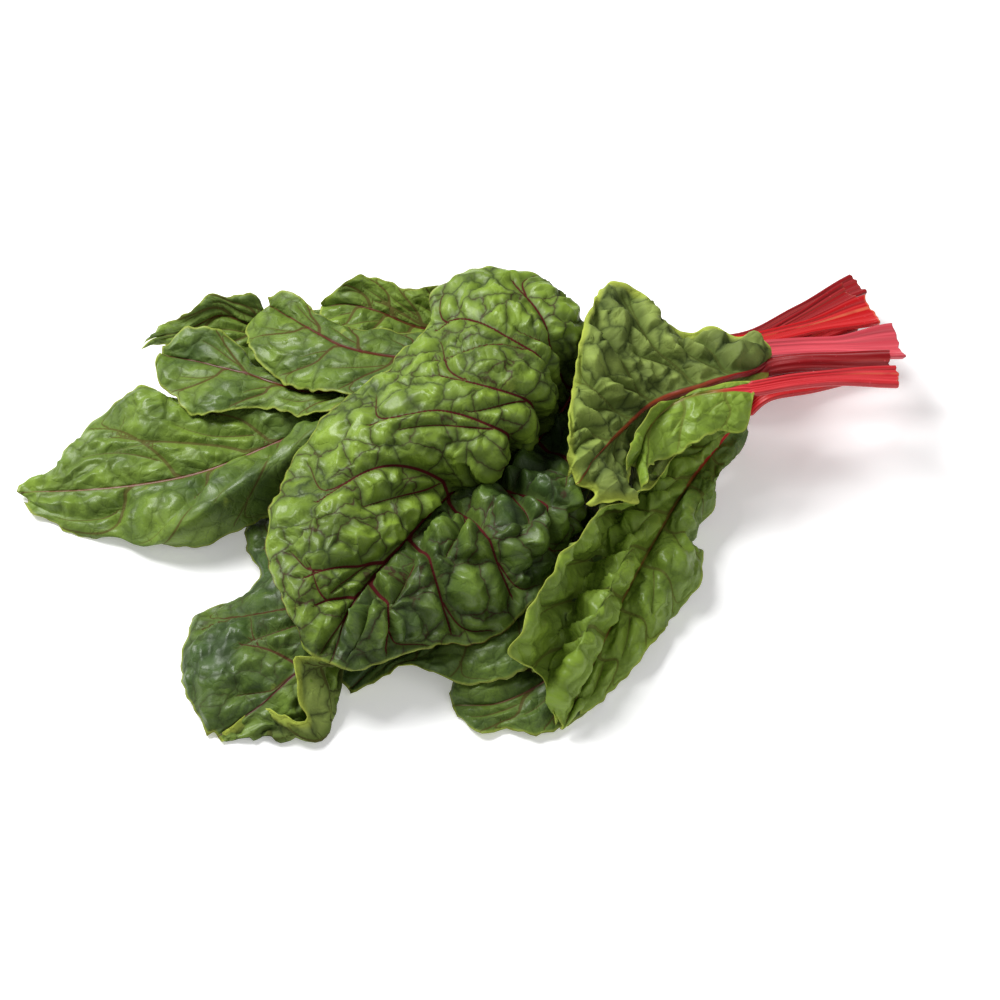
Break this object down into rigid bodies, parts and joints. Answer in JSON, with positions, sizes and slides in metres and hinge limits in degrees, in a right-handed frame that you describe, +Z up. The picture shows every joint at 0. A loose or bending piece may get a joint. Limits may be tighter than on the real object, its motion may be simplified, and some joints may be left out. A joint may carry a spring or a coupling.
{
  "type": "swiss chard bunch",
  "caption": "Bunch of red swiss chard leaves lying on its side, ribbed red stalks together at one end and crinkled green blades fanned out.",
  "frame": {"origin": "centre of the bunch's footprint, on the surface that it lies on", "axes": "+Z up, +X along the bunch towards the cut stalk ends, +Y towards the back, away from the leaves that lie nearest"},
  "size_m": [0.433, 0.2776, 0.0778],
  "materials": {
    "leaf_green": "glossy crinkled green leaf with dark red veins on a red ribbed stalk",
    "leaf_underside": "matte grey-green underside of a leaf with a raised red midrib and red ribbed stalk"
  },
  "bodies": {
    "root": {"leaf_front_low": "leaf_green", "leaf_center_low": "leaf_green", "leaf_front_left": "leaf_green", "leaf_far_left": "leaf_green", "leaf_back_left": "leaf_green", "leaf_back_dark": "leaf_green", "leaf_back_mid": "leaf_green", "leaf_left_upper": "leaf_green", "leaf_center_large": "leaf_green", "leaf_front_right": "leaf_green", "leaf_turned_over": "leaf_underside", "leaf_front_small": "leaf_green"}
  },
  "joints": []
}
